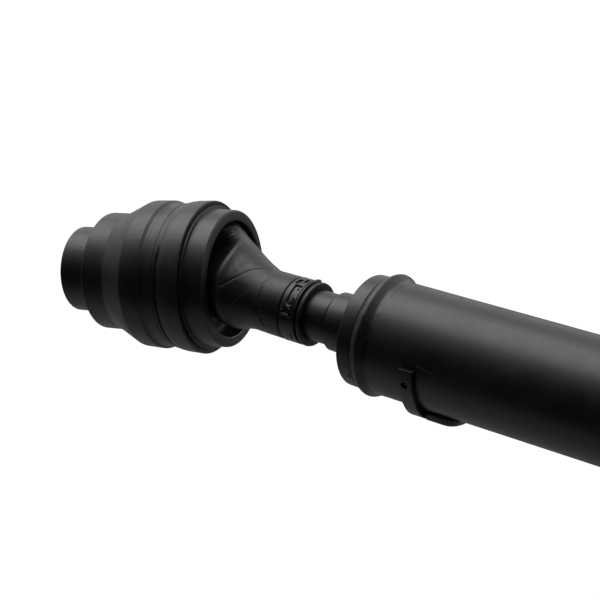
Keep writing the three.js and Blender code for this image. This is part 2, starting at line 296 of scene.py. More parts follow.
def bent_bar(name, radius, bar, a0, a1, phi, share, steps=24, sides=28):
    """A closed round bar along an arc about the joint centre, in the plane at phi round the axis."""
    th = np.linspace(0, 2 * math.pi, sides, endpoint=False)
    v = []
    for i in range(steps + 1):
        a = math.radians(a0 + (a1 - a0) * i / steps)
        rr = radius + bar * np.cos(th)
        v.append(np.stack([rr * math.sin(a), rr * math.cos(a), bar * np.sin(th)], -1))
    v = np.concatenate(v)
    c, s = math.cos(phi), math.sin(phi)
    v = np.stack([v[:, 0], v[:, 1] * c - v[:, 2] * s, v[:, 1] * s + v[:, 2] * c], -1)
    faces = []
    for i in range(steps):
        for k in range(sides):
            k2 = (k + 1) % sides
            faces.append((i * sides + k, i * sides + k2, (i + 1) * sides + k2, (i + 1) * sides + k))
    faces += [tuple(range(sides))[::-1], tuple(range(steps * sides, (steps + 1) * sides))]
    return mesh_object(name, to_row(v, share), faces)


# ------------------------------------------------------------------ materials
class Tree:
    """A short way to write a procedural material."""

    def __init__(self, name, share=0.0):
        self.m = bpy.data.materials.new(name)
        self.m.use_nodes = True
        self.nt = self.m.node_tree
        self.nt.nodes.clear()
        self.out = self.nt.nodes.new("ShaderNodeOutputMaterial")
        self.b = self.nt.nodes.new("ShaderNodeBsdfPrincipled")
        self.nt.links.new(self.b.outputs[0], self.out.inputs[0])
        tc = self.nt.nodes.new("ShaderNodeTexCoord")
        mp = self.nt.nodes.new("ShaderNodeMapping")
        mp.vector_type = "TEXTURE"
        mp.inputs["Location"].default_value = Vector(J / 1000.0)
        mp.inputs["Rotation"].default_value = Matrix.Rotation(REST * share, 3, Vector(N_AX)).to_euler()
        self.nt.links.new(tc.outputs["Object"], mp.inputs["Vector"])
        self.p = mp.outputs[0]                      # local position, metres, from the joint centre
        sep = self.nt.nodes.new("ShaderNodeSeparateXYZ")
        self.nt.links.new(self.p, sep.inputs[0])
        self.x, self.y, self.z = sep.outputs
        self._phi = None

    def put(self, socket, value):
        if isinstance(value, bpy.types.NodeSocket):
            self.nt.links.new(value, socket)
        else:
            socket.default_value = value

    def math(self, op, a, b=None, c=None, clamp=False):
        n = self.nt.nodes.new("ShaderNodeMath")
        n.operation, n.use_clamp = op, clamp
        for s, v in zip(n.inputs, (a, b, c)):
            if v is not None:
                self.put(s, v)
        return n.outputs[0]

    def vec(self, x, y, z=0.0):
        n = self.nt.nodes.new("ShaderNodeCombineXYZ")
        for s, v in zip(n.inputs, (x, y, z)):
            self.put(s, v)
        return n.outputs[0]

    def noise(self, scale, detail=3.0, rough=0.5, vector=None, distortion=0.0):
        n = self.nt.nodes.new("ShaderNodeTexNoise")
        n.inputs["Scale"].default_value = scale
        n.inputs["Detail"].default_value = detail
        n.inputs["Roughness"].default_value = rough
        n.inputs["Distortion"].default_value = distortion
        self.put(n.inputs["Vector"], vector or self.p)
        return n.outputs["Fac"]

    def noise1(self, w, scale, detail=2.0, rough=0.6):
        n = self.nt.nodes.new("ShaderNodeTexNoise")
        n.noise_dimensions = "1D"
        n.inputs["Scale"].default_value = scale
        n.inputs["Detail"].default_value = detail
        n.inputs["Roughness"].default_value = rough
        self.put(n.inputs["W"], w)
        return n.outputs["Fac"]

    def voronoi(self, scale, feature="F1", vector=None):
        n = self.nt.nodes.new("ShaderNodeTexVoronoi")
        n.feature = feature
        n.inputs["Scale"].default_value = scale
        self.put(n.inputs["Vector"], vector or self.p)
        return n.outputs["Distance"]

    def span(self, v, lo, hi, a=0.0, b=1.0, kind="SMOOTHSTEP"):
        n = self.nt.nodes.new("ShaderNodeMapRange")
        n.interpolation_type = kind
        n.clamp = True
        self.put(n.inputs["Value"], v)
        for k, x in (("From Min", lo), ("From Max", hi), ("To Min", a), ("To Max", b)):
            n.inputs[k].default_value = x
        return n.outputs["Result"]

    def mix(self, fac, c0, c1):
        n = self.nt.nodes.new("ShaderNodeMix")
        n.data_type = "RGBA"
        self.put(n.inputs["Factor"], fac)
        for s, v in ((n.inputs[6], c0), (n.inputs[7], c1)):
            if isinstance(v, bpy.types.NodeSocket):
                self.nt.links.new(v, s)
            else:
                s.default_value = (*v, 1.0)
        return n.outputs[2]

    def bump(self, height, distance_mm, strength=1.0, normal=None):
        n = self.nt.nodes.new("ShaderNodeBump")
        n.inputs["Strength"].default_value = strength
        n.inputs["Distance"].default_value = distance_mm / 1000.0
        self.put(n.inputs["Height"], height)
        if normal is not None:
            self.nt.links.new(normal, n.inputs["Normal"])
        return n.outputs[0]

    def phi(self):
        """Angle round the axis in radians, 0 at -Y, so that the cut in it lies at the far side."""
        if self._phi is None:
            self._phi = self.math("ARCTAN2", self.math("MULTIPLY", self.z, -1.0), self.math("MULTIPLY", self.y, -1.0))
        return self._phi

    def stroke(self, x0, t0, x1, t1, r, width):
        """Mask of a thin mark from (x0, t0) to (x1, t1): x in mm, t in degrees round the axis, on radius r mm."""
        a = np.array([x0, math.radians(t0 - 180) * r]) / 1000.0
        b = np.array([x1, math.radians(t1 - 180) * r]) / 1000.0
        ab = b - a
        px = self.math("SUBTRACT", self.x, float(a[0]))
        py = self.math("SUBTRACT", self.math("MULTIPLY", self.phi(), r / 1000.0), float(a[1]))
        dot = self.math("ADD", self.math("MULTIPLY", px, float(ab[0])), self.math("MULTIPLY", py, float(ab[1])))
        t = self.math("DIVIDE", dot, float(ab @ ab), clamp=True)
        dx = self.math("SUBTRACT", px, self.math("MULTIPLY", t, float(ab[0])))
        dy = self.math("SUBTRACT", py, self.math("MULTIPLY", t, float(ab[1])))
        d = self.math("SQRT", self.math("ADD", self.math("MULTIPLY", dx, dx), self.math("MULTIPLY", dy, dy)))
        return self.span(d, 0.0, width / 1000.0, 1.0, 0.0)

    def strokes(self, items):
        total = None
        for it in items:
            s = self.stroke(*it[:6])
            if len(it) > 6:
                s = self.math("MULTIPLY", s, it[6])
            total = s if total is None else self.math("MAXIMUM", total, s)
        return total


def paint(name, share=0.0, dark=(0.0013, 0.0013, 0.0014), light=(0.0030, 0.0029, 0.0031), rough=(0.35, 0.45),
          peel=0.020, rings=0.006, marks=(), grain=0.5):
    """Satin black paint over steel: fine peel, faint turning rings, dust, small handling marks."""
    t = Tree(name, share)
    big = t.noise(38.0, 4.0, 0.55)
    mid = t.noise(190.0, 3.0, 0.6)
    fine = t.noise(1500.0, 2.0, 0.5)
    ring = t.noise1(t.x, 900.0)
    col = t.mix(t.span(big, 0.3, 0.7), dark, light)
    speck = t.span(t.voronoi(420.0), 0.035, 0.075, 1.0, 0.0)
    speck = t.math("MULTIPLY", speck, t.span(t.noise(60.0, 2.0), 0.52, 0.66))
    col = t.mix(t.math("MULTIPLY", speck, 0.30), col, (0.04, 0.04, 0.042))
    geo = t.nt.nodes.new("ShaderNodeNewGeometry")
    wear = t.math("MULTIPLY", t.span(geo.outputs["Pointiness"], 0.515, 0.56), t.span(mid, 0.42, 0.7))
    col = t.mix(t.math("MULTIPLY", wear, 0.35), col, (0.055, 0.056, 0.06))
    r = t.span(t.math("ADD", t.math("MULTIPLY", big, 0.6), t.math("MULTIPLY", mid, 0.4)), 0.3, 0.7, rough[0], rough[1])
    r = t.math("ADD", r, t.math("MULTIPLY", speck, 0.12))
    height = t.math("ADD", t.math("MULTIPLY", fine, grain), t.math("MULTIPLY", mid, 1.0))
    normal = t.bump(height, peel)
    normal = t.bump(ring, rings, 1.0, normal)
    if marks:
        s = t.strokes(marks)
        col = t.mix(t.math("MULTIPLY", s, 0.5), col, (0.075, 0.075, 0.08))
        r = t.math("ADD", r, t.math("MULTIPLY", s, 0.1))
        normal = t.bump(t.math("MULTIPLY", s, -1.0), 0.12, 1.0, normal)
    t.put(t.b.inputs["Base Color"], col)
    t.put(t.b.inputs["Roughness"], r)
    t.put(t.b.inputs["Normal"], normal)
    t.b.inputs["Metallic"].default_value = 0.0
    t.b.inputs["IOR"].default_value = 1.5
    return t.m


def rubber(name, share=0.0, marks=(), ridges_painted_highlight=()):
    """Moulded black rubber with a soft skin, scuffs, fine cracks and painted highlights on its raised ridges."""
    t = Tree(name, share)
    big = t.noise(45.0, 4.0, 0.6)
    mid = t.noise(260.0, 4.0, 0.6)
    fine = t.noise(2200.0, 2.0, 0.5)
    streak = t.noise(55.0, 5.0, 0.65, vector=t.vec(t.math("MULTIPLY", t.x, 3.5), t.y, t.z), distortion=0.6)
    col = t.mix(t.span(big, 0.3, 0.7), (0.0014, 0.0014, 0.0015), (0.0036, 0.0036, 0.0038))
    scuff = t.math("MULTIPLY", t.span(streak, 0.56, 0.74), t.span(mid, 0.4, 0.65))
    col = t.mix(t.math("MULTIPLY", scuff, 0.4), col, (0.022, 0.022, 0.023))
    r = t.span(t.math("ADD", t.math("MULTIPLY", big, 0.5), t.math("MULTIPLY", mid, 0.5)), 0.3, 0.7, 0.36, 0.47)
    r = t.math("ADD", r, t.math("MULTIPLY", scuff, 0.1))
    height = t.math("ADD", t.math("MULTIPLY", fine, 0.25), t.math("MULTIPLY", mid, 1.0))
    normal = t.bump(height, 0.03)
    if marks:
        s = t.strokes(marks)
        col = t.mix(t.math("MULTIPLY", s, 0.55), col, (0.004, 0.004, 0.004))
        normal = t.bump(t.math("MULTIPLY", s, -1.0), 0.25, 1.0, normal)
    if ridges_painted_highlight:
        s = t.strokes(ridges_painted_highlight)
        # painted highlight: the raised ridges get a lighter colour; the added roughness there is scuffed rubber
        col = t.mix(t.math("MULTIPLY", s, 0.45), col, (0.085, 0.085, 0.09))
        r = t.math("ADD", r, t.math("MULTIPLY", s, 0.12))
        normal = t.bump(s, 0.12, 1.0, normal)
    t.put(t.b.inputs["Base Color"], col)
    t.put(t.b.inputs["Roughness"], r)
    t.put(t.b.inputs["Normal"], normal)
    t.b.inputs["IOR"].default_value = 1.45
    return t.m


def steel(name, share=0.0, dark=(0.10, 0.10, 0.105), light=(0.17, 0.17, 0.175), rough=(0.28, 0.42), rings=0.008):
    """Ground or stamped steel with an oily film."""
    t = Tree(name, share)
    big = t.noise(70.0, 4.0, 0.6)
    fine = t.noise(900.0, 3.0, 0.6)
    ring = t.noise1(t.x, 2600.0, 3.0)
    col = t.mix(t.span(big, 0.3, 0.7), dark, light)
    film = t.span(t.noise(140.0, 3.0), 0.55, 0.7)
    col = t.mix(t.math("MULTIPLY", film, 0.5), col, tuple(0.35 * c for c in dark))
    r = t.span(t.math("ADD", t.math("MULTIPLY", big, 0.5), t.math("MULTIPLY", ring, 0.5)), 0.3, 0.7, rough[0], rough[1])
    normal = t.bump(fine, 0.006)
    normal = t.bump(ring, rings, 1.0, normal)
    t.put(t.b.inputs["Base Color"], col)
    t.put(t.b.inputs["Roughness"], r)
    t.put(t.b.inputs["Normal"], normal)
    t.b.inputs["Metallic"].default_value = 1.0
    return t.m


def weld_paint(name):
    """Paint over the coarse surface of the weld upset."""
    t = Tree(name)
    lump = t.noise(420.0, 4.0, 0.65)
    pit = t.voronoi(900.0)
    band = t.math("MULTIPLY", t.span(t.x, (HEAD + 8.6) / 1000, (HEAD + 9.6) / 1000), t.span(t.x, (HEAD + 11.6) / 1000, (HEAD + 14.0) / 1000, 1.0, 0.0))
    col = t.mix(t.span(lump, 0.35, 0.7), (0.0014, 0.0014, 0.0015), (0.0036, 0.0036, 0.0038))
    r = t.span(lump, 0.3, 0.7, 0.32, 0.44)
    r = t.math("ADD", r, t.math("MULTIPLY", band, 0.14))
    fine = t.bump(t.noise(1500.0, 2.0), 0.010)
    coarse = t.math("MULTIPLY", t.math("ADD", lump, t.math("MULTIPLY", pit, 0.6)), band)
    normal = t.bump(coarse, 0.55, 1.0, fine)
    t.put(t.b.inputs["Base Color"], col)
    t.put(t.b.inputs["Roughness"], r)
    t.put(t.b.inputs["Normal"], normal)
    return t.m


def give(o, mat, body, slot, *nodes, ride=True):
    o.data.materials.clear()
    o.data.materials.append(mat)
    if ride:
        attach(o, body)
    if nodes:
        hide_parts(*nodes)
    return o


# ------------------------------------------------------------------ housing side
M_HOUSE = paint("satin_black_housing", 1.0, marks=(
    (1.0, 133.0, 13.5, 127.0, 49.2, 0.40, 0.45), (2.5, 130.0, 17.5, 121.5, 49.4, 0.32, 0.35), (-5.0, 134.0, 5.5, 131.0, 48.4, 0.45, 0.4)))
M_NOSE = paint("satin_black_nose", 1.0, rings=0.010)
M_COVER = paint("satin_black_cover", 1.0, peel=0.026, rings=0.008, grain=0.8)
M_CAN = paint("satin_black_can", 1.0, rough=(0.33, 0.42), rings=0.005)
M_SHAFT = paint("satin_black_shaft", 0.0, rings=0.012, rough=(0.35, 0.45))
M_TUBE = paint("satin_black_tube", 0.0, peel=0.018, rings=0.003, rough=(0.36, 0.44), marks=(
    (HEAD + 54.7, 168.8, HEAD + 60.0, 170.8, 35.0, 0.34, 0.9), (HEAD + 60.0, 170.8, HEAD + 65.6, 172.6, 35.0, 0.26, 0.7)))
M_WEIGHT = paint("satin_black_weights", 0.0, rough=(0.36, 0.46), peel=0.03, rings=0.0)
M_WELD = weld_paint("satin_black_weld")
M_RUBBER = rubber("boot_rubber_skin", 0.0, marks=(
    (46.1, 150.5, 53.5, 129.5, 24.9, 0.42, 0.9), (53.5, 129.5, 57.9, 108.9, 23.0, 0.42, 0.9), (57.9, 108.9, 62.5, 92.4, 22.0, 0.40, 0.9), (62.5, 92.4, 72.3, 82.0, 20.8, 0.36, 0.7),
    (44.4, 110.4, 52.0, 122.4, 26.5, 0.30, 0.6), (50.1, 114.1, 53.9, 96.9, 24.9, 0.30, 0.5), (41.0, 80.4, 53.0, 70.0, 28.0, 0.34, 0.5), (69.8, 129.7, 75.4, 88.2, 20.1, 0.32, 0.5),
    (71.8, 132.3, 71.9, 160.6, 20.1, 0.42, 0.6), (71.9, 160.6, 75.4, 184.0, 20.1, 0.45, 0.8), (75.5, 184.0, 76.1, 199.5, 20.2, 0.80, 1.0), (75.9, 189.0, 77.6, 183.5, 20.2, 0.55, 1.0)),
    # raised ridges on the boot, each carrying a painted highlight
    ridges_painted_highlight=((49.5, 188.5, 57.9, 161.3, 22.1, 0.34, 0.6), (57.9, 161.3, 65.8, 137.1, 20.7, 0.30, 0.5), (46.6, 153.0, 54.0, 131.8, 24.9, 0.32, 0.5), (54.0, 131.8, 58.4, 111.0, 23.0, 0.3, 0.5),
    (47.8, 99.1, 50.8, 96.8, 26.3, 0.34, 0.8), (56.0, 93.9, 57.3, 80.0, 23.6, 0.34, 0.8), (50.6, 115.6, 54.3, 98.6, 24.9, 0.26, 0.6), (69.1, 95.2, 69.6, 94.0, 20.1, 0.5, 0.9),
    (41.4, 82.2, 53.0, 72.0, 28.0, 0.26, 0.4), (70.4, 131.0, 75.8, 90.2, 20.1, 0.3, 0.5)))
M_CLAMP = paint("clamp_black_coat", 0.0, rough=(0.30, 0.40), peel=0.010, rings=0.002, grain=0.3)
M_CLIP = steel("clip_spring_steel", 0.0, dark=(0.10, 0.10, 0.105), light=(0.17, 0.17, 0.175))
M_PLUG = steel("plug_dark_steel", 0.0, dark=(0.05, 0.05, 0.055), light=(0.09, 0.09, 0.095))
M_BRIGHT = steel("bearing_ground_steel", 0.0, dark=(0.34, 0.34, 0.35), light=(0.5, 0.5, 0.51), rough=(0.14, 0.24), rings=0.002)
M_CAP = steel("cap_dark_steel", 1.0, dark=(0.07, 0.07, 0.075), light=(0.12, 0.12, 0.125))

SPLINES = 32


def nose_splines(X, R, T):
    """Spline teeth cut into the nose bore."""
    inside = (X > -79.5) & (X < -46.6) & (np.abs(R - 19.0) < 0.05)
    wave = np.clip(np.cos(T * SPLINES) * 1.9, -1, 1)
    return X, np.where(inside, 19.55 + 0.55 * wave, R)


bore = [(33.6 * math.sin(math.radians(a)), 33.6 * math.cos(math.radians(a))) for a in np.linspace(27.6, -52, 24)]
race_prof = fillet([
    (-80.2, 20.5, 0.4), (-80.2, 28.3, 1.2), (-55.1, 28.3), (-55.1, 36.9), (-54.6, 37.3), (-41.3, 37.35), (-37, 38.75),
    (-25.2, 45.9), (-23.9, 46.1), (-10.0, 46.1, 0.3), (-9.0, 47.2, 0.3), (-5.0, 47.25), (-0.6, 47.3, 0.4), (-0.2, 46.9, 0.2), (0.7, 46.9, 0.2), (0.7, 45.8), (17, 45.8, 0.5), (17, 30.6, 0.6),
    *bore, (-26.6, 19.8), (-46, 19.8), (-46, 19.0), (-70.6, 19.0), (-70.6, 20.6), (-73.2, 20.6), (-73.2, 19.0), (-78.7, 19.0)])
outer_race = lathe("outer_race_forging", race_prof, 1.0, seg=384, shape=nose_splines)
TRACK_PHI = [2 * math.pi * (k + 0.5) / 6 for k in range(6)]
cut(outer_race, [bent_bar(f"track_{k}", 30.0, 9.45, -38, 62, p, 1.0) for k, p in enumerate(TRACK_PHI)])
give(outer_race, M_NOSE, "housing", "black_paint", "outer_race")

cover = lathe("stepped_cover_shell", fillet([
    (-57.1, 28.75, 0.3), (-57.1, 38.8, 1.1), (-41.3, 38.85, 6.0), (-22.9, 48.35, 3.4), (-10.6, 48.9, 0.3), (-8.8, 47.4, 0.3), (-6.7, 47.34, 0.05), (-6.6, 47.27, 0.05), (-8.9, 47.25, 0.1), (-9.6, 46.3, 0.3),
    (-24.1, 46.35), (-25.5, 46.3), (-37.3, 39.2), (-41.4, 37.7), (-55.4, 37.65), (-55.4, 28.75, 0.3)]), 1.0, seg=200)
give(cover, M_COVER, "housing", "black_paint", "stepped_cover")



def collar_groove(X, R, T):
    """The groove behind the collar's front bead is rolled shut on the upper side."""
    t = np.degrees(T) % 360
    shut = smooth(20, 40, t) * (1 - smooth(134, 146, t))
    plain = 47.75 + (X - 1.0) * 0.25
    inside = (X > 0.9) & (X < 5.6) & (R > 46.5)
    return X, np.where(inside, R + (np.maximum(plain, 47.0) - R) * shut * 0.92, R)


collar = lathe("retaining_collar_ring", fillet([
    (0.75, 45.85), (0.75, 47.3, 0.1), (1.1, 48.0, 0.35), (2.1, 48.0, 0.4), (2.8, 46.9, 0.3), (4.0, 46.9, 0.35), (5.0, 48.9, 0.8), (9.0, 49.45, 8.0), (19.5, 50.05, 0.9), (19.5, 46.9, 0.4), (18.4, 46.6, 0.2), (18.4, 45.85)]), 1.0, seg=240, shape=collar_groove)
give(collar, M_HOUSE, "housing", "black_paint", "retaining_collar")

can = lathe("boot_can_shell", fillet([
    (17.3, 39.0), (17.3, 45.8), (18.8, 45.8), (18.8, 46.9, 0.2), (21.0, 46.8, 0.4), (21.3, 44.8, 0.3), (34.5, 44.5, 1.3),
    (35.4, 37.7, 1.2), (22.6, 37.5, 0.5), (22.6, 39.0), (33.4, 39.0), (33.4, 43.0), (19.0, 43.0), (19.0, 39.0)]), 1.0, seg=200)
give(can, M_CAN, "housing", "black_paint", "boot_can")

cap = lathe("grease_cap_cup", fillet([
    (-45.5, 0), (-45.5, 9.0, 1.0), (-44.6, 11.5, 1.0), (-44.6, 15.5, 0.8), (-45.5, 19.4, 0.8), (-38, 19.4, 0.3), (-38, 18.5, 0.3), (-44.0, 18.4, 0.6),
    (-43.5, 15.5, 0.6), (-43.5, 11.0, 0.6), (-44.4, 9.0, 0.6), (-44.4, 0)], closed=False), 1.0, seg=96)
give(cap, M_CAP, "housing", "clamp_steel", "grease_cap")


def gap_ring(name, x, r, wire, a0, a1, share, steps=120, sides=16):
    """A wire ring with a gap, closed at both ends."""
    th = np.linspace(0, 2 * math.pi, sides, endpoint=False)
    v = []
    for i in range(steps + 1):
        a = math.radians(a0 + (a1 - a0) * i / steps)
        rr = r + wire * np.cos(th)
        v.append(np.stack([x + wire * np.sin(th), rr * math.cos(a), rr * math.sin(a)], -1))
    faces = [(i * sides + k, i * sides + (k + 1) % sides, (i + 1) * sides + (k + 1) % sides, (i + 1) * sides + k) for i in range(steps) for k in range(sides)]
    faces += [tuple(range(sides))[::-1], tuple(range(steps * sides, (steps + 1) * sides))]
    return mesh_object(name, to_row(np.concatenate(v), share), faces)


lock = gap_ring("nose_lock_wire", -71.9, 19.35, 0.95, 20, 340, 1.0)
give(lock, M_CAP, "housing", "clamp_steel", "nose_lock_ring")

# ------------------------------------------------------------------ shaft side
stub = lathe("stub_shaft_forging", fillet([
    (-15.6, 0), (-15.6, 12, 1.0), (-14.4, 12, 0.1), (-14.4, 10.7, 0.1), (-12.6, 10.7, 0.1), (-12.6, 12, 0.1), (12.4, 12, 0.3), (12.4, 13.5, 0.4),
    (62, 13.5, 2.0), (66, 16.0, 2.0), (HEAD - 22.9, 16.1, 0.4), (HEAD - 22.5, 15.3, 0.3), (HEAD - 21.4, 15.3, 0.3), (HEAD - 21.0, 18.5, 0.6), (HEAD - 3.0, 18.7, 0.6), (HEAD - 1.6, 17.6, 0.5), (HEAD - 0.4, 17.6, 0.3), (HEAD - 0.4, 34.75, 1.5),
    (HEAD + 9.4, 34.9, 0.35), (HEAD + 9.6, 32.5), (HEAD + 21, 32.5, 0.5), (HEAD + 21, 27, 0.5), (HEAD + 7, 27, 3.0), (HEAD + 7, 0)], closed=False), 0.0, seg=192)
cut(stub, [rod("dot", (HEAD + 7.5, 33.3 * math.cos(math.radians(206.5)), 33.3 * math.sin(math.radians(206.5))),
               (HEAD + 7.5, 37.0 * math.cos(math.radians(206.5)), 37.0 * math.sin(math.radians(206.5))), 0.95, 20)])
give(stub, M_SHAFT, "shaft", "black_paint", "stub_shaft")

weld_noise = Noise(7)


def weld_shape(X, R, T):
    top = smooth(33.6, 35.2, R)
    p = np.stack([X * 0.9, np.cos(T) * 34 * 0.55 + 60, np.sin(T) * 34 * 0.55 + 60], -1)
    q = np.stack([X * 0.25, np.cos(T) * 9 + 30, np.sin(T) * 9 + 30], -1)
    near = np.exp(-((X - (HEAD + 10.4)) / 1.3) ** 2) + np.exp(-((X - (END - 55.0 + 16.0 - 10.4)) / 1.3) ** 2)
    crest = np.exp(-((X - (HEAD + 13.6)) / 3.2) ** 2) + np.exp(-((X - (END - 55.0 + 16.0 - 13.6)) / 3.2) ** 2)
    side = np.cos(T - math.radians(60))
    return X, R + top * (0.10 * weld_noise(q) + 0.28 * near * weld_noise(p * 1.6) + 0.45 * crest * side)


def bulge(s):
    """Profile of the friction-weld upset; s is +1 at the head end and -1 at the flange end."""
    at = HEAD if s > 0 else END - 55.0 + 16.0
    pts = [(8.7, 33.0), (8.7, 34.5), (9.3, 34.45), (9.9, 35.0), (11.2, 36.1), (12.8, 37.25), (14.2, 37.95), (15.3, 38.0), (16.3, 37.45), (17.6, 36.5),
           (18.9, 35.65), (19.9, 35.2), (20.8, 35.05), (22.6, 35.0), (23.2, 34.9), (23.2, 33.0)]
    return [(at + s * x, r) for x, r in pts]


def smooth_profile(pts, keep_ends=2, n=5):
    """Catmull-Rom through the middle of an open profile."""
    p = np.array(pts, float)
    out = [tuple(p[0])]
    for i in range(1, len(p) - 2):
        p0, p1, p2, p3 = p[i - 1], p[i], p[i + 1], p[min(i + 2, len(p) - 1)]
        for k in range(n):
            t = k / n
            out.append(tuple(0.5 * ((2 * p1) + (-p0 + p2) * t + (2 * p0 - 5 * p1 + 4 * p2 - p3) * t * t + (-p0 + 3 * p1 - 3 * p2 + p3) * t ** 3)))
    out += [tuple(p[-2]), tuple(p[-1])]
    return out


for s, nm, node in ((1, "weld_upset_front", "weld_bead_front"), (-1, "weld_upset_rear", "weld_bead_rear")):
    o = lathe(nm, smooth_profile(bulge(s)), 0.0, seg=256, shape=weld_shape, sharp=50)
    give(o, M_WELD, "shaft", "black_paint", node)

T0, T1 = HEAD + 16.0, END - 55.0


def tube_shape(X, R, T):
    q = np.stack([X * 0.012, np.cos(T) * 1.6 + 9, np.sin(T) * 1.6 + 9], -1)
    return X, R + 0.05 * weld_noise(q) * (R > 34)


tube = lathe("shaft_tube", densify(fillet([(T0, 35.0, 0.3), (T1, 35.0, 0.3), (T1, 32.85), (T0, 32.85)]), T0, T1, 12.0), 0.0, seg=192, shape=tube_shape)
give(tube, M_TUBE, "shaft", "black_paint", "tube")

HUB = T1 + 7.0
FT = 10.3
hub = lathe("flange_hub_forging", fillet([
    (END - 9, 0), (END - 9, 15, 2), (END - 22, 18, 4), (HUB - 2, 22, 4), (HUB - 19, 26, 1), (HUB - 19, 32.5, 0.6), (HUB - 0.4, 32.5), (HUB - 0.2, 34.9, 0.35),
    (HUB + 8, 34.9, 3.0), (HUB + 15, 28, 5.0), (END - 11 - FT - 2.5, 27.2, 3.5), (END - 11 - FT, 32.5, 2.0), (END - 11 - FT, 52, 1.2), (END - 11, 52, 1.2),
    (END - 11, 25.2, 0.3), (END - 11.8, 24.6, 0.3), (END - 10.6, 24.0, 0.2), (END - 0.0, 24.0, 1.3), (END, 16.0, 0.2), (END - 0.8, 15.0, 0.3), (END - 0.8, 0)], closed=False), 0.0, seg=192)
holes = []
for k in range(6):
    a = 2 * math.pi * (k + 0.5) / 6
    c, s = math.cos(a) * 39.5, math.sin(a) * 39.5
    holes.append(rod(f"hole_{k}", (END - 11 - FT - 4, c, s), (END - 11 + 4, c, s), 5.2, 48))
cut(hub, holes)
bevel(hub, 0.5, 3, 50)
give(hub, paint("satin_black_flange", 0.0, rings=0.015, rough=(0.33, 0.43)), "shaft", "black_paint", "flange_hub")

# balance weights
def steps(a, b, d):
    return list(np.linspace(a, b, max(2, int(round(abs(b - a) / d)) + 1)))


def lift(t):
    """How far the strap stands off the tube, mm; its lower end is not pressed down."""
    return 2.25 * float(smooth(206, 244, t))


strap = plate("weight_strap_plate", lambda x, t: 35.02 + lift(t), lambda x, t: 37.8 + lift(t), steps(HEAD + 44.8, HEAD + 53.9, 3.0), steps(175.2, 262, 2.0))
cut(strap, [rod("strap_hole", (HEAD + 49.0, 34 * math.cos(math.radians(190.2)), 34 * math.sin(math.radians(190.2))),
                (HEAD + 49.0, 41 * math.cos(math.radians(190.2)), 41 * math.sin(math.radians(190.2))), 2.2, 32)])
bevel(strap, 0.35, 3, 40)
give(strap, M_WEIGHT, "shaft", "black_paint", "weight_strap")

layer = plate("weight_strap_second_plate", 35.02, lambda x, t: 35.12 + 0.88 * lift(t), steps(HEAD + 45.9, HEAD + 53.0, 3.0), steps(226, 257, 2.0))
bevel(layer, 0.2, 3, 40)
give(layer, M_WEIGHT, "shaft", "black_paint", "weight_strap_layer")


def dome(name, x, a, r0, r1, rad, crown, body_sides=28):
    """A plug with a domed head, standing radially."""
    rings = [(r0, rad), (r1, rad)] + [(r1 + crown * math.sin(q), rad * math.cos(q)) for q in np.linspace(0.25, 1.45, 6)]
    u = np.array([0, math.cos(math.radians(a)), math.sin(math.radians(a))])
    w = np.cross([1.0, 0, 0], u)
    th = np.linspace(0, 2 * math.pi, body_sides, endpoint=False)
    v, faces = [], []
    for (h, q) in rings:
        for t in th:
            v.append(np.array([x, 0, 0]) + u * h + q * (math.cos(t) * np.array([1.0, 0, 0]) + math.sin(t) * w))
    n = body_sides
    for i in range(len(rings) - 1):
        faces += [(i * n + k, i * n + (k + 1) % n, (i + 1) * n + (k + 1) % n, (i + 1) * n + k) for k in range(n)]
    faces += [tuple(range(n))[::-1], tuple(range((len(rings) - 1) * n, len(rings) * n))]
    return mesh_object(name, to_row(np.array(v)), faces)


plug = dome("weight_plug_rivet", HEAD + 49.0, 190.4, 34.6, 35.9, 1.3, 0.8)
give(plug, M_PLUG, "shaft", "clamp_steel", "weight_plug")


def round_end(x, t, r):
    """The far end of the lengthwise plate falls off in a rounded nose."""
    k = min(1.0, max(0.0, (x - HEAD - 66.3) / 9.2))
    if r > 35.05:
        r = 35.1 + (r - 35.1) * (math.sqrt(1 - k * k) if k < 1 else 0.0)
    if k > 0:
        t = 251.0 + (t - 251.0) * (1 - 0.22 * k * k)
    if HEAD + 66.05 < x < HEAD + 66.45:                 # a seam across the plate
        r -= 0.5 if r > 38 else 0.0
        t = 251.0 + (t - 251.0) * 0.95
    return x, t, r


xs = steps(HEAD + 54.5, HEAD + 65.6, 3.0) + [HEAD + 65.85, HEAD + 66.1, HEAD + 66.4, HEAD + 66.65] + [HEAD + 66.3 + 9.2 * math.sin(math.radians(a)) for a in range(10, 87, 7)]
long_plate = plate("weight_long_plate", 35.02, lambda x, t: 36.3 + 4.05 * min(1.0, max(0.0, (t - 235.5) / 5.2)) ** 0.8, xs,
                   [235.5, 236.3, 237.2, 238.2, 239.3, 240.7] + steps(243, 266.5, 2.6), warp=round_end)
bevel(long_plate, 0.3, 2, 50)
give(long_plate, M_WEIGHT, "shaft", "black_paint", "weight_plate")

# ------------------------------------------------------------------ boot
SEG_B = 288
TH = np.linspace(0, 360, SEG_B, endpoint=False)


def bell_at(centre, width):
    d = (TH - centre + 180) % 360 - 180
    return np.exp(-(d / width) ** 2)


C = np.cos(np.radians(TH - E_ANG))                       # +1 on the stretched side, -1 on the pressed side
FOLD = 1 - smooth(0.30, 0.86, C)                         # 1 where the boot is folded, 0 where it is drawn out
BULGE = bell_at(162, 44)                                 # the roll stands proud on the near side


def ring(share, x, r):
    """A closed ring of points: local x and radius per angle, in mm relative to the joint centre, turned by share."""
    x = np.broadcast_to(np.asarray(x, float), TH.shape)
    r = np.broadcast_to(np.asarray(r, float), TH.shape)
    t = np.radians(TH)
    return rot_about(np.stack([x, r * np.cos(t), r * np.sin(t)], -1), N_AX, np.full(TH.shape, REST * share))


def mixr(a, b, w):
    return a * (1 - w)[:, None] + b * w[:, None]


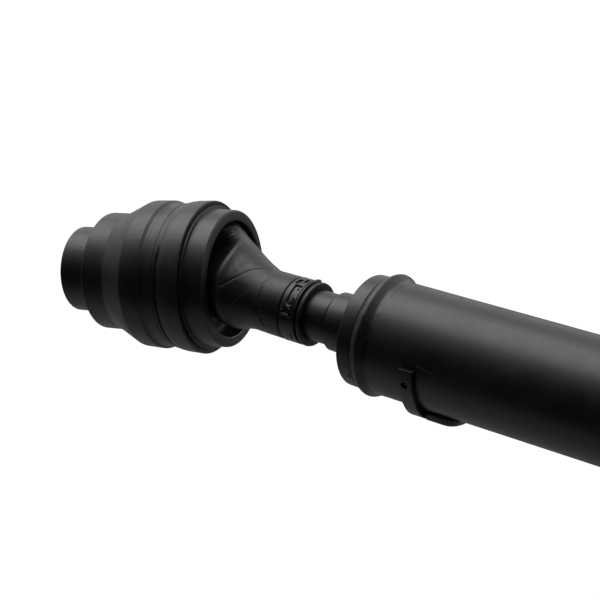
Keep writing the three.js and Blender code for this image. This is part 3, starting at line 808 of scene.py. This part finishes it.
def table(rows):
    """Smooth closed curve through (angle, value) rows."""
    a = np.array([r[0] for r in rows], float)
    v = np.array([r[1] for r in rows], float)
    a = np.concatenate([a - 360, a, a + 360])
    v = np.tile(v, 3)
    out = np.empty_like(TH)
    for i, t in enumerate(TH):
        k = int(np.searchsorted(a, t, side="right")) - 1
        p0, p1, p2, p3 = v[k - 1], v[k], v[k + 1], v[k + 2]
        u = (t - a[k]) / (a[k + 1] - a[k])
        out[i] = 0.5 * (2 * p1 + (p2 - p0) * u + (2 * p0 - 5 * p1 + 4 * p2 - p3) * u * u + (3 * p1 - p0 - 3 * p2 + p3) * u ** 3)
    return out


crest_x = table([(0, 40.2), (20, 40.2), (45, 41.2), (70, 42.0), (110, 43.9), (130, 43.4), (150, 42.2), (180, 42.3), (210, 42.8), (240, 43.0), (270, 43.0), (300, 42.4), (330, 41.0)])
crest_r = table([(0, 29.5), (20, 29.5), (45, 29.6), (70, 29.0), (110, 28.6), (130, 29.5), (150, 30.7), (180, 30.8), (210, 28.8), (240, 27.2), (270, 27.2), (300, 27.9), (330, 29.0)])
NEAR = bell_at(95, 52)                                   # the part of the membrane that is gathered in wrinkles
wall_x = 22.2 + 1.2 * NEAR * FOLD + 8.5 * (1 - FOLD)
crest = ring(0.5, crest_x, crest_r)
wall = ring(1.0, wall_x, 37.42)
wall_in = ring(1.0, wall_x - 1.0, 38.2)
bead = ring(1.0, wall_x - 2.0, 38.9)


def drawn(w, sag):
    """A point on the drawn-out side, w of the way from the crest to the wall."""
    p = crest * (1 - w) + wall * w
    u = p / np.linalg.norm(p, axis=1)[:, None]
    return p - u * sag


folded = [
    ring(0.5, crest_x - 2.2, crest_r + 0.1),
    ring(0.5, crest_x - 5.5, crest_r - 1.1),
    ring(0.55, crest_x - 10.5, crest_r - 3.0),
    ring(0.6, 26.0, crest_r - 4.2),
    ring(0.75, 21.0, crest_r - 3.4),
    ring(0.95, 19.9, 30.4),
    ring(1.0, 19.9, 34.2),
    ring(1.0, 20.9, 36.6),
]
FOLD_W = [0.10, 0.22, 0.36, 0.50, 0.62, 0.74, 0.86, 0.95]
controls = [
    ring(0, 84.0, 20.2), ring(0, 77.5, 20.18), ring(0, 72.0, 20.1 + 0.05 * C), ring(0, 68.2, 20.15 + 0.15 * C), ring(0, 63.0, 20.95 + 1.1 * C),
    ring(0, 57.0, 22.65 + 1.85 * C), ring(0, 48.0, 25.7 + 3.1 * C + 1.2 * BULGE), crest,
] + [mixr(drawn(w, 0.5 * math.sin(math.pi * w)), f, FOLD) for f, w in zip(folded, FOLD_W)] + [wall, wall_in, bead]
K = np.stack(controls)                                   # (rings, angles, 3)


def spline_rings(K, counts):
    """Catmull-Rom from ring to ring, with counts[i] steps on stretch i."""
    out, at = [], []
    n = len(K)
    for i in range(n - 1):
        p0 = K[max(i - 1, 0)] if i > 0 else 2 * K[0] - K[1]
        p1, p2 = K[i], K[i + 1]
        p3 = K[i + 2] if i + 2 < n else 2 * K[-1] - K[-2]
        # centripetal knots, per angle
        d01 = np.sqrt(np.linalg.norm(p1 - p0, axis=1))[:, None] + 1e-6
        d12 = np.sqrt(np.linalg.norm(p2 - p1, axis=1))[:, None] + 1e-6
        d23 = np.sqrt(np.linalg.norm(p3 - p2, axis=1))[:, None] + 1e-6
        m1 = (p1 - p0) / d01 - (p2 - p0) / (d01 + d12) + (p2 - p1) / d12
        m2 = (p2 - p1) / d12 - (p3 - p1) / (d12 + d23) + (p3 - p2) / d23
        m1, m2 = m1 * d12, m2 * d12
        for q in range(counts[i]):
            t = q / counts[i]
            h = (2 * t ** 3 - 3 * t * t + 1, t ** 3 - 2 * t * t + t, -2 * t ** 3 + 3 * t * t, t ** 3 - t * t)
            out.append(h[0] * p1 + h[1] * m1 + h[2] * p2 + h[3] * m2)
            at.append(i + t)
    out.append(K[-1])
    at.append(n - 1.0)
    return np.stack(out), np.array(at)


counts = [6, 8, 8, 8, 12, 12, 18, 14] + [8] * (len(K) - 9)
G, AT = spline_rings(K, counts)


def grid_normals(G):
    du = np.gradient(G, axis=0)
    dv = (np.roll(G, -1, axis=1) - np.roll(G, 1, axis=1)) / 2
    n = np.cross(du, dv)
    n /= np.linalg.norm(n, axis=2)[..., None] + 1e-12
    if (n[10] * (G[10] - G[10].mean(0))).sum() < 0:
        n = -n
    return n


Nrm = grid_normals(G)
n1, n2, n3 = Noise(11), Noise(12), Noise(13)
TT = np.broadcast_to(TH, G.shape[:2])
AA = np.broadcast_to(AT[:, None], G.shape[:2])
# broad unevenness of the skin, and fine folds where the membrane is gathered
soft = 0.16 * n1(G * 0.09 + 40) + 0.06 * n1(G * 0.28 + 70)
arc_len = np.radians(TT) * 33
folds = n2(np.stack([AA * 2.6, arc_len * 0.10, 0 * AA + 3], -1)) + 0.6 * n3(np.stack([AA * 5.5, arc_len * 0.24, 0 * AA + 9], -1))
in_membrane = smooth(9.0, 12.0, AA) * (1 - smooth(16.0, 17.2, AA))
disp = soft * (smooth(2.0, 5.0, AA)) * (1 - smooth(15.5, 16.5, AA)) + (0.05 + 0.26 * NEAR) * folds * in_membrane
G = G + Nrm * disp[..., None]


def crease(x0, t0, x1, t1, width, depth):
    """A crease pressed into the funnel from (x0, t0) to (x1, t1), in mm and degrees."""
    t = np.degrees(np.arctan2(G[..., 2], G[..., 1])) % 360
    r = np.hypot(G[..., 1], G[..., 2])
    px, py = G[..., 0] - x0, np.radians(t - t0) * r
    ax, ay = x1 - x0, np.radians(t1 - t0) * r
    u = np.clip((px * ax + py * ay) / (ax * ax + ay * ay), 0, 1)
    return depth * np.exp(-(np.hypot(px - u * ax, py - u * ay) / width) ** 2)


pressed = np.zeros(G.shape[:2])
for c in ((46.1, 150.5, 53.5, 129.5, 0.5, 0.22), (53.5, 129.5, 57.9, 108.9, 0.5, 0.22), (57.9, 108.9, 62.5, 92.4, 0.5, 0.20), (62.5, 92.4, 72.3, 82.0, 0.5, 0.15),
          (71.8, 132.3, 71.9, 160.6, 0.7, 0.20), (71.9, 160.6, 75.4, 184.0, 0.7, 0.26), (75.5, 185.0, 76.0, 199.0, 0.75, 0.75), (75.9, 189.0, 77.3, 184.5, 0.5, 0.4)):
    pressed = np.maximum(pressed, crease(*c))
G = G - Nrm * (pressed * (1 - smooth(7.0, 8.0, AA)))[..., None]
Nrm = grid_normals(G)
THICK = 1.3


def boot_piece(name, lo, hi, cap_lo=None, cap_hi=None):
    """The stretch of the boot between spline positions lo and hi, as a closed shell. Returns the object and each point's position."""
    rows = np.where((AT >= lo - 1e-9) & (AT <= hi + 1e-9))[0]
    outer = G[rows]
    inner = outer - Nrm[rows] * THICK
    k, m = len(rows), G.shape[1]
    v = np.concatenate([outer.reshape(-1, 3), inner.reshape(-1, 3)])
    faces = []
    for i in range(k - 1):
        for j in range(m):
            j2 = (j + 1) % m
            faces.append((i * m + j, i * m + j2, (i + 1) * m + j2, (i + 1) * m + j))
            o = k * m
            faces.append((o + i * m + j, o + (i + 1) * m + j, o + (i + 1) * m + j2, o + i * m + j2))
    for i in (0, k - 1):
        for j in range(m):
            j2 = (j + 1) % m
            faces.append((i * m + j, k * m + i * m + j, k * m + i * m + j2, i * m + j2))
    me = bpy.data.meshes.new(name)
    me.from_pydata([tuple(p) for p in (v + J) / 1000.0], [], faces)
    bm = bmesh.new()
    bm.from_mesh(me)
    bmesh.ops.recalc_face_normals(bm, faces=bm.faces)
    bm.to_mesh(me)
    bm.free()
    me.shade_smooth()
    me.set_sharp_from_angle(angle=math.radians(60))
    o = bpy.data.objects.new(name, me)
    bpy.context.scene.collection.objects.link(o)
    pos = np.concatenate([np.repeat(AT[rows], m)] * 2)
    return o, pos


def share_out(o):
    """Bakes o's transform into its mesh."""
    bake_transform(o)


RING_P, RING_Q, RING_R = 6.0, 6.5, 7.5
for nm, lo, hi, a, b, w0, w1 in (
    ("boot_funnel_upper", 0.0, RING_P, "shaft", "boot_neck", 2.6, RING_P),
    ("boot_funnel_lower", RING_P, RING_Q, "boot_neck", "ball_cage", RING_P, RING_Q),
    ("boot_roll_crest", RING_Q, RING_R, "ball_cage", "boot_fold", RING_Q, RING_R),
    ("boot_roll_membrane", RING_R, float(len(K) - 1), "boot_fold", "housing", 11.0, 15.6),
):
    o, pos = boot_piece(nm, lo, hi)
    o.data.materials.append(M_RUBBER)
    share_out(o)
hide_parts("boot_funnel")
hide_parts("boot_roll")

# neck sleeve: seat under the clamp and the lip bead, rigid on the shaft
neck = lathe("boot_neck_sleeve", fillet([
    (HEAD - 58.5, 16.2), (HEAD - 58.5, 20.2), (HEAD - 53.7, 20.25, 0.3), (HEAD - 53.4, 19.2, 0.2), (HEAD - 52.4, 19.3, 0.2), (HEAD - 41.6, 19.3, 0.3), (HEAD - 41.3, 18.2, 0.2), (HEAD - 39.7, 18.2, 0.2), (HEAD - 39.4, 20.1, 0.4),
    (HEAD - 38.4, 20.45, 0.7), (HEAD - 37.1, 20.2, 0.6), (HEAD - 36.9, 18.6, 0.6), (HEAD - 37.3, 16.2)]), 0.0, seg=200)
give(neck, M_RUBBER, "shaft", "boot_rubber")

# ------------------------------------------------------------------ clamp
CL0, CL1 = -52.5, -41.3                                  # from the tube head, mm


def box(X, T, x0, x1, t0, t1, e=0.12):
    """1 inside the window x0..x1 mm by t0..t1 degrees, with walls e mm wide."""
    et = math.degrees(e / 20.4)
    return (smooth(x0 - e, x0 + e, X) * (1 - smooth(x1 - e, x1 + e, X)) * smooth(t0 - et, t0 + et, T) * (1 - smooth(t1 - et, t1 + et, T)))


def slanted(X, T, x0, x1, t0, t1, lean, e=0.12):
    return box(X + lean * (T - t0), T, x0, x1, t0, t1, e)


def band_height(X, T):
    """Radius of the clamp's outer face, with its lapped ends, hook, windows and tongue."""
    h = np.full_like(X, 20.4)
    h = h + 0.10 * box(X, T, CL0 - 1, CL0 + 0.9, -1, 361, 0.25)
    lap = box(X, T, CL0 + 1.1, CL1 - 1.25, 78, 152, 0.14)                      # the end that lies on top
    h = h + 0.42 * lap
    h = h + 0.30 * box(X, T, -51.6, -42.2, 152, 168, 0.2)                     # stepped end of the inner lap
    h = h + 0.30 * box(X, T, CL1 - 0.95, CL1 + 1, 58, 165, 0.12)                  # raised edge beside it
    h = h - 0.55 * box(X, T, CL1 - 1.45, CL1 - 1.0, 62, 158, 0.10)
    h = h - 1.3 * slanted(X, T, -49.9, -47.3, 89, 104, 0.02)                 # first window
    h = h - 1.3 * slanted(X, T, -45.8, -43.7, 83, 96, 0.03)                  # second window
    h = h - 1.3 * box(X, T, -48.9, -47.5, 106.5, 140)                          # long slot
    h = h - 1.3 * box(X, T, -47.9, -43.6, 106.5, 112.5)                        # its foot
    h = h - 1.3 * box(X, T, -45.4, -43.6, 110, 118.5)
    rim = np.hypot((X + 46.2) / 3.1, (T - 139.5) / 11.5)                      # round end of the tongue
    low = (T > 134)
    h = h - 0.75 * (1 - smooth(0.74, 0.86, rim)) * smooth(0.42, 0.52, rim) * smooth(134, 137, T) * low
    h = h + 0.28 * (1 - smooth(1.02, 1.12, rim)) * smooth(0.86, 0.94, rim) * smooth(131, 135, T)
    h = h - 0.55 * box(X, T, -50.0, -46.1, 156.2, 163.2)                      # pocket under it
    h = h + 0.32 * box(X, T, -50.3, -45.2, 163.6, 166.2, 0.15)
    h = h + 0.32 * box(X, T, -45.9, -45.1, 154.0, 165.0, 0.15)
    h = h + 0.35 * box(X, T, -50.9, -50.0, 158.0, 165.0, 0.15)
    h = h - 1.0 * box(X, T, -44.7, -43.7, 200.5, 215)                         # slot on the lower side
    h = h + 0.85 * box(X, T, -43.4, -41.6, 57, 70, 0.25)                      # hook at the top
    h = h - 0.9 * box(X, T, -45.6, -43.9, 66, 74)
    return np.maximum(h, 19.62)


def clamp_band(name):
    th = np.unique(np.concatenate([np.arange(0, 50, 2.0), np.arange(50, 220, 0.4), np.arange(220, 360, 2.0)]))
    xs = np.unique(np.concatenate([[CL0, CL0 + 0.08, CL0 + 0.25], np.arange(CL0 + 0.4, CL1 - 0.3, 0.15), [CL1 - 0.25, CL1 - 0.08, CL1]]))
    X, T = np.meshgrid(xs, th, indexing="ij")
    R = band_height(X, T)
    edge = np.minimum(X - CL0, CL1 - X)
    R = R - 0.22 * (1 - np.clip(edge / 0.25, 0, 1)) ** 2
    X, T, R = [np.concatenate([a, b]) for a, b in ((X, X[[-1, 0]]), (T, T[[-1, 0]]), (R, np.full((2, len(th)), 19.5)))]
    a = np.radians(T)
    v = np.stack([X + HEAD, R * np.cos(a), R * np.sin(a)], -1)
    k, m = X.shape
    faces = [(i * m + j, i * m + (j + 1) % m, ((i + 1) % k) * m + (j + 1) % m, ((i + 1) % k) * m + j) for i in range(k) for j in range(m)]
    return mesh_object(name, to_row(v.reshape(-1, 3)), faces, 40)


band = clamp_band("boot_clamp_band")
give(band, M_CLAMP, "shaft", "clamp_steel", "boot_clamp")

# ------------------------------------------------------------------ inside
for node in ["cage", "inner_race", "race_circlip"] + [f"ball_{k}" for k in range(1, 7)]:
    me = frame["nodes"][node].data
    me.materials.clear()
    me.materials.append(M_CLIP if node == "race_circlip" else M_BRIGHT)

# ------------------------------------------------------------------ studio
scene = bpy.context.scene
scene.view_settings.view_transform = "Standard"

floor_me = bpy.data.meshes.new("studio_floor")
floor_me.from_pydata([(-14, -14, -0.8), (14, -14, -0.8), (14, 14, -0.8), (-14, 14, -0.8)], [], [(0, 1, 2, 3)])
floor = bpy.data.objects.new("studio_floor", floor_me)
scene.collection.objects.link(floor)
fm = bpy.data.materials.new("studio_floor_white_painted_shade")
fm.use_nodes = True
fn = fm.node_tree
fb = fn.nodes["Principled BSDF"]
fb.inputs["Base Color"].default_value = (0.27, 0.27, 0.27, 1)
fb.inputs["Roughness"].default_value = 0.9
fb.inputs["Specular IOR Level"].default_value = 0.0
fc = fn.nodes.new("ShaderNodeTexCoord")
fs = fn.nodes.new("ShaderNodeSeparateXYZ")
fn.links.new(fc.outputs["Object"], fs.inputs[0])
# painted shade: the floor's colour runs from 0.30 behind the part down to 0.03 on the camera side
fr = fn.nodes.new("ShaderNodeMapRange")
fr.interpolation_type = "SMOOTHSTEP"
for k, v in (("From Min", -1.9), ("From Max", -0.55), ("To Min", 0.03), ("To Max", 0.30)):
    fr.inputs[k].default_value = v
fn.links.new(fs.outputs[1], fr.inputs["Value"])
fn.links.new(fr.outputs["Result"], fb.inputs["Base Color"])
# a burnt-out white sweep to the eye; to the part, a matt sheet whose colour is painted darker on the camera side as
# painted shade
fe = fn.nodes.new("ShaderNodeEmission")
fe.inputs["Strength"].default_value = 1.05
fl = fn.nodes.new("ShaderNodeLightPath")
fx = fn.nodes.new("ShaderNodeMixShader")
fn.links.new(fl.outputs["Is Camera Ray"], fx.inputs[0])
fn.links.new(fb.outputs[0], fx.inputs[1])
fn.links.new(fe.outputs[0], fx.inputs[2])
fn.links.new(fx.outputs[0], fn.nodes["Material Output"].inputs[0])
floor_me.materials.append(fm)

world = bpy.data.worlds.new("studio")
scene.world = world
world.use_nodes = True
wn = world.node_tree
wn.nodes.clear()
wo = wn.nodes.new("ShaderNodeOutputWorld")
wb = wn.nodes.new("ShaderNodeBackground")
wt = wn.nodes.new("ShaderNodeTexCoord")
wd = wn.nodes.new("ShaderNodeVectorMath")
wd.operation = "DOT_PRODUCT"
wd.inputs[1].default_value = (-0.25, 0.80, 0.52)          # bright behind and above, dark on the camera side
wr = wn.nodes.new("ShaderNodeMapRange")
wr.interpolation_type = "SMOOTHSTEP"
wr.inputs["From Min"].default_value = -0.35
wr.inputs["From Max"].default_value = 0.55
wr.inputs["To Min"].default_value = 0.018
wr.inputs["To Max"].default_value = 1.0
wn.links.new(wt.outputs["Generated"], wd.inputs[0])
wn.links.new(wd.outputs["Value"], wr.inputs["Value"])
wl = wn.nodes.new("ShaderNodeLightPath")
wm = wn.nodes.new("ShaderNodeMath")
wm.operation = "MAXIMUM"
wn.links.new(wr.outputs["Result"], wm.inputs[0])
wn.links.new(wl.outputs["Is Camera Ray"], wm.inputs[1])
wn.links.new(wm.outputs[0], wb.inputs["Strength"])
wb.inputs["Color"].default_value = (0.99, 0.985, 1.0, 1)
wn.links.new(wb.outputs[0], wo.inputs[0])


def area(name, loc, target, sx, sy, radiance, color=(1, 1, 1)):
    ld = bpy.data.lights.new(name, "AREA")
    ld.shape, ld.size, ld.size_y = "RECTANGLE", sx, sy
    ld.energy = radiance * math.pi * sx * sy
    ld.color = color
    o = bpy.data.objects.new(name, ld)
    scene.collection.objects.link(o)
    o.location = loc
    d = Vector(target) - Vector(loc)
    o.rotation_euler = d.to_track_quat("-Z", "Y").to_euler()
    return o


area("overhead_softbox", (-1.08, 0.12, 0.95), (-1.08, 0.119, 0.0), 1.65, 0.9, 2.7, (0.965, 0.945, 1.0))

cam_data = bpy.data.cameras.new("camera")
cam = bpy.data.objects.new("camera", cam_data)
scene.collection.objects.link(cam)
cam_data.sensor_width = 36.0
cam_data.lens = 87.76
right, up, fwd = Vector((0.81661, 0.57719, 0.0)), Vector((-0.24315, 0.34401, 0.90694)), Vector((-0.52348, 0.74062, -0.42126))
m = Matrix((right, up, -fwd)).transposed().to_4x4()
m.translation = Vector((-0.385 + 0.4265, -0.6744, 0.390)) + up * 0.00027
cam.matrix_world = m
cam_data.clip_start, cam_data.clip_end = 0.05, 60
scene.camera = cam
